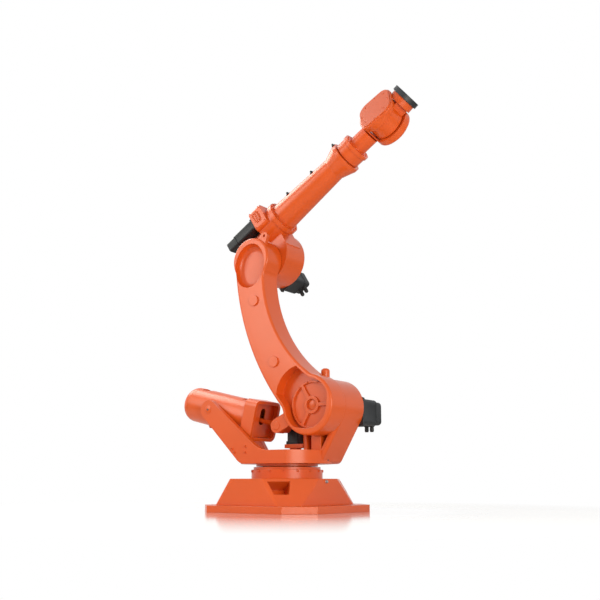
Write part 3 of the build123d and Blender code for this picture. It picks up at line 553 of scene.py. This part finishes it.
# Plate over the balancer's bore: half side, place along the can, thickness, the slot's half width, and how far
# the rod leaves the can's middle line over the shoulder's swing
SHIELD_HALF = 0.1155
SHIELD_ALONG = 0.345
SHIELD_THICK = 0.006
SLOT_HALF = 0.026
ROD_RISE = 0.058
ROD_FALL = -0.006

# Forearm's foot flange: circle of its screws, its front face along the tube, and the breather's place
FLANGE_CIRCLE = 0.121
FLANGE_FACE = 0.300
BREATHER = (0.283, 0, 0.134)

# Hose clips: (place along the tube, radius there), and the directions out of the tube and across them
CLIPS = ((0.447, 0.1004), (0.685, 0.0912), (0.932, 0.120))
CLIP_OUT = Vector((0, -0.61, 0.792))
CLIP_ACROSS = Vector((0, 0.792, 0.61))

# Oval hollow in the lower arm's head: middle of its floor in the arm's frame, half axes, lean, how far the
# cut reaches from the floor, and the bowl's (share of the oval, height) stations
HEAD_MIDDLE = Vector((-0.023, -0.148, 1.122))
HEAD_SHORT = 0.130
HEAD_LONG = 0.160
HEAD_TURN = math.radians(33)
HEAD_DEPTH = 0.09
HEAD_BOWL = ((0.66, 0.0), (0.8, 0.003), (0.9, 0.011), (0.96, 0.024), (1.0, 0.045), (1.0, HEAD_DEPTH))


# Wrist: screws on each side cover, how far the covers' faces lie from the middle, the near cover's shift, the
# circles of their screws, and the roll collar's circle and face
COVER_SCREWS = 8
COVER_FACE = 0.122
COVER_SHIFT = 0.014
NEAR_CIRCLE = 0.116
FAR_CIRCLE = 0.099
COLLAR_CIRCLE = 0.088
COLLAR_FACE = -0.262

# Lamps: name, colour, width and height, and place; all look at the robot's middle
LAMPS = (
    ("key", (1, 0.98, 0.88), (2.2, 3.2), (-2.65, -3.95, 3.0)),
    ("fill", (1, 0.95, 0.82), (3.0, 3.0), (4.6, -2.6, 0.9)),
    ("top", (1, 0.98, 0.88), (2.6, 2.6), (-3.3, -0.2, 4.5)),
)
LAMP_AIM = Vector((0.2, 0, 1.3))
FLOOR_HALF = 60


class ROBOT_OT_finishes(bpy.types.Operator):
    """Give every CAD node its painted, steel or plastic finish"""
    bl_idname = "robot.finishes"
    bl_label = "Finishes"

    def execute(self, context):
        kinds = finishes()
        for entry in frame["record"]["subparts"]:
            node = frame["nodes"][entry["node"]]
            node.data.materials.clear()
            node.data.materials.append(kinds[entry["material_slot"]])
        return {"FINISHED"}


class ROBOT_OT_motors(bpy.types.Operator):
    """Servo motors with panelled sides, a grooved encoder end and corner screws, in place of the plain ones"""
    bl_idname = "robot.motors"
    bl_label = "Motors"

    def execute(self, context):
        for node, body, half, length, place in MOTORS:
            bm = bmesh.new()
            for shape, spots in self.shapes(half, length):
                for point in spots:
                    put(bm, shape, place @ Matrix.Translation(point))
                shape.free()
            add_piece(bm, node + "_shell", body, "motor_black", [node])
        return {"FINISHED"}

    def shapes(self, half, length):
        case, end = MOTOR_CASE * half, MOTOR_END * half
        rear = MOTOR_CASE_END * length
        groove = rear - 3 * MOTOR_GROOVE
        lip = 0.03 * half
        flange = stack(0.14, ((half - lip, 0), (half, lip), (half, MOTOR_FLANGE - lip), (half - lip, MOTOR_FLANGE)))
        column = stack(0.34, (
            (case, MOTOR_FLANGE), (case, groove), (end, groove), (end, groove + MOTOR_GROOVE),
            (case, groove + MOTOR_GROOVE), (case, rear - lip), (case - lip, rear), (end, rear),
            (end, length - 2 * lip), (end - 2 * lip, length)))
        sides = sorted((f for f in column.faces if abs(f.normal.z) < 0.1), key=lambda f: -f.calc_area())[:4]
        bmesh.ops.inset_individual(column, faces=sides, thickness=0.16 * half, depth=-0.035 * half)
        bmesh.ops.inset_individual(column, faces=[top_face(column)], thickness=0.14 * half, depth=-0.03 * half)
        origin = [(0, 0, 0)]
        corners = [(x * 0.89 * half, y * 0.89 * half, MOTOR_FLANGE) for x in (-1, 1) for y in (-1, 1)]
        rears = [(x * 0.46 * half, y * 0.46 * half, length - 0.03 * half) for x in (-1, 1) for y in (-1, 1)]
        return (
            (flange, origin), (column, origin),
            (socket_screw(0.085 * half, 0.11 * half), corners), (socket_screw(0.05 * half, 0.03 * half), rears))


class ROBOT_OT_plugs(bpy.types.Operator):
    """Ribbed round connectors on the shoulder and elbow motors"""
    bl_idname = "robot.plugs"
    bl_label = "Motor plugs"

    def execute(self, context):
        for node, body, half, length, place in MOTORS[1:3]:
            bm = bmesh.new()
            shape = self.plug()
            along = (1 + MOTOR_CASE_END) * length / 2
            for side in (-0.5, 0.5):
                point = Vector((side * PLUG_PITCH, MOTOR_END * half, along))
                put(bm, shape, place @ facing(point, (0, 1, 0)))
            shape.free()
            joint = node.replace("_motor", "")
            add_piece(
                bm, node + "_plugs", body, "connector_black", [joint + "_power_plug", joint + "_signal_plug"])
        return {"FINISHED"}

    def plug(self):
        return lathe((
            (0, 0), (0.018, 0), (0.018, 0.009), (0.0168, 0.0115), (0.0132, 0.0125), (0.0132, 0.016),
            (0.015, 0.0175), (0.015, 0.0215), (0.0138, 0.0225), (0.0138, 0.0245), (0.015, 0.0255),
            (0.015, 0.0295), (0.0138, 0.0305), (0.0138, 0.0325), (0.015, 0.0335), (0.015, 0.0385),
            (0.0125, 0.041), (0.0115, 0.046), (0.007, 0.046), (0.0062, 0.044), (0, 0.044)), 24)


class ROBOT_OT_base_fittings(bpy.types.Operator):
    """Screws round the waist bearing and the earth bolt on the pedestal"""
    bl_idname = "robot.base_fittings"
    bl_label = "Base fittings"

    def execute(self, context):
        sizes = context.scene.robot_fittings
        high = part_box("base_bearing_ring")[1]
        places = ring(
            WORLD_FRAME, "Z", high.x, high.z - 0.027, sizes.bearing_screws, math.radians(-36.5), outward=True)
        scatter("bearing_screws", "base", "orange_casting", socket_screw(1.5 * sizes.screw, 0.005), places)
        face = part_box("base_pedestal")[1].x
        scatter("earth_bolt", "base", "pin_steel", hex_bolt(0.008, 0.011), [((face, -0.026, 0.196), (1, 0, 0))])
        return {"FINISHED"}


class ROBOT_OT_seals(bpy.types.Operator):
    """Dust seals in the gaps at the waist, the shoulder and the elbow; the black shoulder and elbow seals also paint
    the dark shade of those seams.
    """
    bl_idname = "robot.seals"
    bl_label = "Joint seals"

    def execute(self, context):
        waist = (0, 0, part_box("turntable_ring")[0].z)
        lip = lathe((
            (0.170, 0.001), (0.214, 0.001), (0.216, -0.001), (0.216, -0.003), (0.214, -0.0042), (0.170, -0.0042),
            (0.170, 0.001)), 72)
        scatter("waist_seal", "turntable", "orange_casting", lip, [(waist, (0, 0, 1))])
        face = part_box("shoulder_motor")[0].y - 0.245
        ring_face = Vector((SHOULDER.x, face, SHOULDER.z))
        band = lathe((
            (0.160, -0.012), (0.188, -0.012), (0.1895, -0.009), (0.1895, 0.002), (0.188, 0.0038), (0.160, 0.0038),
            (0.160, -0.012)), 72)
        # Black seal ring, which also paints the dark shade along the shoulder's seam.
        scatter("shoulder_seal", "turntable", "connector_black", band, [(ring_face, (0, -1, 0))])
        band = lathe((
            (0.118, 0.0), (0.139, 0.0), (0.1405, 0.002), (0.1405, 0.0095), (0.139, 0.0115), (0.118, 0.0115),
            (0.118, 0.0)), 64)
        # Black seal ring, which also paints the dark shade along the elbow's seam.
        scatter("elbow_seal", "forearm", "connector_black", band, [((ELBOW.x, -0.037, ELBOW.z), (0, -1, 0))])
        return {"FINISHED"}


class ROBOT_OT_turntable_fittings(bpy.types.Operator):
    """Bolts on the near cheek, a drain plug on the rail, and painted caps over the trunnion pins"""
    bl_idname = "robot.turntable_fittings"
    bl_label = "Turntable fittings"

    def execute(self, context):
        sizes = context.scene.robot_fittings
        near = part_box("turntable_casting")[0].y
        bolts = [((x, near, z), (0, -1, 0)) for x, z in (
            (-0.276, 0.415), (-0.254, 0.391), (-0.161, 0.428), (-0.161, 0.388))]
        scatter("cheek_bolts", "turntable", "orange_casting", socket_screw(0.75 * sizes.bolt, 0.008), bolts)
        scatter("rail_plug", "turntable", "flange_steel", socket_screw(sizes.bolt, 0.004), [
            ((0.3131, 0.0348, 0.342), (0.994, 0.11, 0))])
        middle = pivot("balancer_rock")
        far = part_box("trunnion_pin_far")[1].y
        ends = [((middle.x, near, middle.z), (0, -1, 0)), ((middle.x, far, middle.z), (0, 1, 0))]
        cap = lathe(((0, 0.003), (0.027, 0.003), (0.030, 0.0012), (0.030, -0.001), (0, -0.001)), 40)
        scatter("trunnion_caps", "turntable", "orange_casting", cap, ends)
        dots = [(Vector(point) + 0.003 * Vector(look), look) for point, look in ends]
        scatter("trunnion_screws", "turntable", "flange_steel", socket_screw(0.65 * sizes.bolt, 0.003), dots)
        return {"FINISHED"}


class ROBOT_OT_balancer_fittings(bpy.types.Operator):
    """Lifting plugs on the spring can's flats, the filler boss under it, and the slotted plate over its bore"""
    bl_idname = "robot.balancer_fittings"
    bl_label = "Balancer fittings"

    def execute(self, context):
        sizes = context.scene.robot_fittings
        flats = [spot(BALANCER_FRAME, (x, 0, 0.116), (0, 0, 1)) for x in (-0.16, 0.225)]
        scatter("lifting_plugs", "balancer", "pin_steel", socket_screw(sizes.bolt, 0.006), flats)
        boss = lathe((
            (0, 0.016), (0.008, 0.016), (0.0095, 0.0145), (0.0095, 0.009), (0.0135, 0.009), (0.016, 0.007),
            (0.0175, -0.004), (0, -0.004)), 28)
        scatter("filler_boss", "balancer", "orange_casting", boss, [
            spot(BALANCER_FRAME, (-0.094, -0.0131, -0.1243), (0, -0.105, -0.9945))])
        bm = bmesh.new()
        shape = self.shield()
        put(bm, shape, BALANCER_FRAME @ axes((SHIELD_ALONG, 0, 0), x=LEFT, y=UP))
        shape.free()
        add_piece(bm, "spring_shield", "balancer", "orange_casting")
        return {"FINISHED"}

    def shield(self):
        """Rounded square plate with an upright slot in which the rod rises and falls."""
        bm = bmesh.new()
        bmesh.ops.create_grid(bm, x_segments=1, y_segments=1, size=SHIELD_HALF)
        bmesh.ops.bevel(
            bm, geom=list(bm.verts), offset=0.2 * SHIELD_HALF, segments=7, affect="VERTICES", profile=0.5,
            material=-1)
        bmesh.ops.delete(bm, geom=list(bm.faces), context="FACES_ONLY")
        slot = bmesh.ops.create_circle(bm, segments=32, radius=SLOT_HALF)["verts"]
        for vert in slot:
            vert.co.y += ROD_RISE if vert.co.y > 0 else ROD_FALL
        bmesh.ops.bridge_loops(bm, edges=list(bm.edges))
        bmesh.ops.recalc_face_normals(bm, faces=bm.faces)
        bmesh.ops.solidify(bm, geom=list(bm.faces), thickness=SHIELD_THICK)
        return bm


class ROBOT_OT_lower_arm(bpy.types.Operator):
    """Lower arm with the oval hollow in its head sunk to a soft bowl"""
    bl_idname = "robot.lower_arm"
    bl_label = "Lower arm"

    def execute(self, context):
        bm = bmesh.new()
        bm.from_mesh(frame["nodes"]["lower_arm_casting"].data)
        bmesh.ops.remove_doubles(bm, verts=bm.verts, dist=1e-6)
        place = axes(ARM_FRAME @ HEAD_MIDDLE, x=ARM_FRAME.col[0].xyz, y=ARM_FRAME.col[2].xyz)
        place = place @ Matrix.Rotation(-HEAD_TURN, 4, "Z")
        inverse = place.inverted()
        oval = {v for v in bm.verts if self.inside(inverse @ v.co)}
        bmesh.ops.delete(bm, geom=[f for f in bm.faces if oval.issuperset(f.verts)], context="FACES")
        bmesh.ops.holes_fill(bm, edges=[e for e in bm.edges if e.is_boundary], sides=0)
        hollow = bmesh.new()
        bowl = self.bowl()
        put(hollow, bowl, place)
        bowl.free()
        add_piece(cut(bm, hollow), "lower_arm_shell", "lower_arm", "orange_casting", ["lower_arm_casting"])
        return {"FINISHED"}

    def inside(self, point):
        """Whether a point lies in the oval's column, from the hollow's floor outwards."""
        within = (point.x / HEAD_SHORT) ** 2 + (point.y / HEAD_LONG) ** 2 < 1.005
        return within and -0.001 < point.z < HEAD_DEPTH

    def bowl(self):
        """Oval cutter along +Z, rounded at the floor."""
        bm = bmesh.new()
        bmesh.ops.create_circle(bm, cap_ends=True, segments=72, radius=1.0)
        share = HEAD_BOWL[0][0]
        bmesh.ops.scale(bm, verts=bm.verts, vec=(HEAD_SHORT * share, HEAD_LONG * share, 1))
        grow(bm, HEAD_BOWL)
        return bm


class ROBOT_OT_arm_fittings(bpy.types.Operator):
    """Cover screws and hub cap at the lower arm's foot, and the cap on the balancer's pin"""
    bl_idname = "robot.arm_fittings"
    bl_label = "Lower arm fittings"

    def execute(self, context):
        sizes = context.scene.robot_fittings
        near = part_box("shoulder_gear_cover")[0].y
        places = ring(ARM_FRAME, "Y", 0.152, near, sizes.cover_screws, math.radians(15), sign=-1)
        scatter("cover_screws", "lower_arm", "orange_cover", socket_screw(0.8 * sizes.screw, 0.004), places)
        cap = lathe((
            (0, 0.002), (0.031, 0.002), (0.0335, 0.0005), (0.0335, -0.001), (0, -0.001)), 40)
        scatter("hub_cap", "lower_arm", "orange_cover", cap, [spot(ARM_FRAME, (0, near + 0.014, 0), (0, -1, 0))])
        pin = pivot("rod_pivot")
        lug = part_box("balancer_pin")[0].y
        disc = lathe(((0, 0.004), (0.026, 0.004), (0.029, 0.0015), (0.029, -0.001), (0, -0.001)), 40)
        scatter("pin_cap", "lower_arm", "orange_casting", disc, [((pin.x, lug, pin.z), (0, -1, 0))])
        return {"FINISHED"}


class ROBOT_OT_gear_case(bpy.types.Operator):
    """Slotted vent panel and corner screws on the gear case's near side"""
    bl_idname = "robot.gear_case"
    bl_label = "Gear case fittings"

    def execute(self, context):
        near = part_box("motor_gear_case")[0].y
        turn = axes(FOREARM_FRAME @ Vector((0.178, near, 0.281)), x=ROLL_AXIS, y=FOREARM_UP)
        bm = bmesh.new()
        for shape, across, rise in (
                (self.tray(0.058, 0.088, 0.005), 0, 0), (self.tray(0.017, 0.068, 0.004), -0.012, 0.002),
                (self.tray(0.017, 0.068, 0.004), 0.012, 0.002)):
            put(bm, shape, turn @ Matrix.Translation((across, 0, rise)))
            shape.free()
        add_piece(bm, "vent_panel", "forearm", "orange_cover")
        corners = [spot(FOREARM_FRAME, (x, near, z), (0, -1, 0)) for x in (0.138, 0.225) for z in (0.212, 0.34)]
        scatter("case_screws", "forearm", "orange_cover", socket_screw(0.005, 0.004), corners)
        return {"FINISHED"}

    def tray(self, length, width, height):
        """Slab with a sunk middle."""
        bm = slab(length, width, height, 0.3 * length, 0.3 * height)
        bmesh.ops.inset_individual(bm, faces=[top_face(bm)], thickness=0.1 * length, depth=-0.6 * height)
        return bm


class ROBOT_OT_forearm_fittings(bpy.types.Operator):
    """Flange screws, breather and hose clips along the forearm tube"""
    bl_idname = "robot.forearm_fittings"
    bl_label = "Forearm fittings"

    def execute(self, context):
        sizes = context.scene.robot_fittings
        places = ring(TUBE_FRAME, "X", FLANGE_CIRCLE, FLANGE_FACE, sizes.flange_screws)
        scatter("flange_screws", "forearm", "orange_casting", socket_screw(1.3 * sizes.screw, 0.007), places)
        dome = lathe((
            (0, 0.018), (0.006, 0.0172), (0.011, 0.0145), (0.013, 0.010), (0.013, 0.006), (0.018, 0.006),
            (0.018, -0.006), (0, -0.006)), 28)
        scatter("breather", "forearm", "orange_casting", dome, [spot(TUBE_FRAME, BREATHER, UP)])
        bm = bmesh.new()
        clip = self.clip(sizes.clip)
        for along, radius in CLIPS:
            point = TUBE_FRAME @ (Vector((along, 0, 0)) + radius * CLIP_OUT)
            put(bm, clip, axes(point, x=ROLL_AXIS, y=TUBE_FRAME.to_3x3() @ CLIP_ACROSS))
        clip.free()
        add_piece(bm, "hose_clips", "forearm", "connector_black")
        return {"FINISHED"}

    def clip(self, radius):
        """Saddle foot with a half hoop that a hose would lie in."""
        bm = slab(0.022, 0.04, 0.005, 0.004, 0.001)
        hoop = bmesh.new()
        bmesh.ops.create_circle(hoop, cap_ends=True, segments=12, radius=0.003)
        bmesh.ops.scale(hoop, verts=hoop.verts, vec=(2.0, 1.0, 1.0))
        bmesh.ops.translate(hoop, verts=hoop.verts, vec=(0, radius, 0))
        bmesh.ops.spin(
            hoop, geom=list(hoop.faces), cent=(0, 0, 0), axis=(1, 0, 0), angle=math.pi, steps=16)
        put(bm, hoop, Matrix.Translation((0, 0, 0.004)))
        hoop.free()
        return bm


class ROBOT_OT_wrist_fittings(bpy.types.Operator):
    """Screws on the wrist's two covers and round the roll collar"""
    bl_idname = "robot.wrist_fittings"
    bl_label = "Wrist fittings"

    def execute(self, context):
        sizes = context.scene.robot_fittings
        shifted = WRIST_FRAME @ Matrix.Translation((COVER_SHIFT, 0, 0))
        places = ring(shifted, "Y", NEAR_CIRCLE, -COVER_FACE, COVER_SCREWS, math.radians(14), sign=-1)
        places += ring(WRIST_FRAME, "Y", FAR_CIRCLE, COVER_FACE, COVER_SCREWS, math.radians(22.5))
        scatter("wrist_cover_screws", "wrist", "orange_cover", socket_screw(0.8 * sizes.screw, 0.0035), places)
        places = ring(WRIST_FRAME, "X", COLLAR_CIRCLE, COLLAR_FACE, sizes.collar_screws)
        scatter("collar_screws", "wrist", "orange_casting", socket_screw(sizes.screw, 0.006), places)
        return {"FINISHED"}


class ROBOT_OT_stage(bpy.types.Operator):
    """Pale floor, soft lights, white surround and the camera"""
    bl_idname = "robot.stage"
    bl_label = "Studio"

    def execute(self, context):
        scene = context.scene
        studio = scene.robot_studio
        bm = bmesh.new()
        bmesh.ops.create_grid(bm, x_segments=1, y_segments=1, size=FLOOR_HALF)
        mesh = bpy.data.meshes.new("studio_floor")
        bm.to_mesh(mesh)
        bm.free()
        floor = bpy.data.objects.new("studio_floor", mesh)
        scene.collection.objects.link(floor)
        mesh.materials.append(
            studio_floor(Shade(bpy.data.materials.new("studio_floor_finish")), scene.robot_paint.floor))
        for name, tint, size, place in LAMPS:
            self.lamp(scene, name, getattr(studio, name), tint, size, Vector(place))
        self.surround(scene, studio.sky)
        self.camera(scene, studio)
        scene.view_settings.view_transform = "Standard"
        return {"FINISHED"}

    def lamp(self, scene, name, power, tint, size, place):
        """Rectangular lamp that looks at the robot's middle."""
        data = bpy.data.lights.new(name, "AREA")
        data.energy = power
        data.color = tint
        data.shape = "RECTANGLE"
        data.size, data.size_y = size
        lamp = bpy.data.objects.new(name, data)
        scene.collection.objects.link(lamp)
        lamp.location = place
        lamp.rotation_euler = (LAMP_AIM - place).to_track_quat("-Z", "Y").to_euler()

    def surround(self, scene, strength):
        """Even light all round, which the camera, metal and glass see as white."""
        scene.world = bpy.data.worlds.new("studio")
        s = Shade(scene.world)
        path = s.tree.nodes.new("ShaderNodeLightPath")
        seen = Wire(s, path.outputs["Is Camera Ray"])
        seen = seen.join("MAXIMUM", Wire(s, path.outputs["Is Glossy Ray"]))
        seen = seen.join("MAXIMUM", Wire(s, path.outputs["Is Transmission Ray"]))
        level = strength + (1 - strength) * seen
        light = s.add("ShaderNodeBackground", inputs={"Color": (1, 1, 1, 1), "Strength": level})
        s.end(light, "ShaderNodeOutputWorld")

    def camera(self, scene, studio):
        data = bpy.data.cameras.new("camera")
        data.sensor_width = 36.0
        data.lens = studio.lens
        data.shift_x = studio.shift
        camera = bpy.data.objects.new("camera", data)
        scene.collection.objects.link(camera)
        camera.location = studio.eye
        heading = Vector(studio.heading).normalized()
        look = heading * math.cos(studio.tilt) + UP * math.sin(studio.tilt)
        camera.rotation_euler = look.to_track_quat("-Z", "Y").to_euler()
        scene.camera = camera


STEPS = (
    ROBOT_OT_finishes, ROBOT_OT_motors, ROBOT_OT_plugs, ROBOT_OT_base_fittings, ROBOT_OT_seals,
    ROBOT_OT_turntable_fittings, ROBOT_OT_balancer_fittings, ROBOT_OT_lower_arm, ROBOT_OT_arm_fittings,
    ROBOT_OT_gear_case, ROBOT_OT_forearm_fittings, ROBOT_OT_wrist_fittings, ROBOT_OT_stage)
GROUPS = {"robot_paint": RobotPaint, "robot_fittings": RobotFittings, "robot_studio": RobotStudio}


class ROBOT_PT_panel(bpy.types.Panel):
    """Lists the robot's finishes and fittings"""
    bl_label = "Robot arm"
    bl_idname = "ROBOT_PT_panel"
    bl_space_type = "VIEW_3D"
    bl_region_type = "UI"
    bl_category = "Robot"

    def draw(self, context):
        for group in GROUPS:
            values = getattr(context.scene, group)
            for name in values.__annotations__:
                self.layout.prop(values, name)
        for step in STEPS:
            self.layout.operator(step.bl_idname)


def register():
    for kind in (*GROUPS.values(), *STEPS, ROBOT_PT_panel):
        bpy.utils.register_class(kind)
    for name, group in GROUPS.items():
        setattr(bpy.types.Scene, name, PointerProperty(type=group))


def unregister():
    for name in GROUPS:
        delattr(bpy.types.Scene, name)
    for kind in reversed((*GROUPS.values(), *STEPS, ROBOT_PT_panel)):
        bpy.utils.unregister_class(kind)


def main():
    register()
    bpy.ops.robot.finishes()
    bpy.ops.robot.motors()
    bpy.ops.robot.plugs()
    bpy.ops.robot.base_fittings()
    bpy.ops.robot.seals()
    bpy.ops.robot.turntable_fittings()
    bpy.ops.robot.balancer_fittings()
    bpy.ops.robot.lower_arm()
    bpy.ops.robot.arm_fittings()
    bpy.ops.robot.gear_case()
    bpy.ops.robot.forearm_fittings()
    bpy.ops.robot.wrist_fittings()
    bpy.ops.robot.stage()


if __name__ == "__main__":
    main()
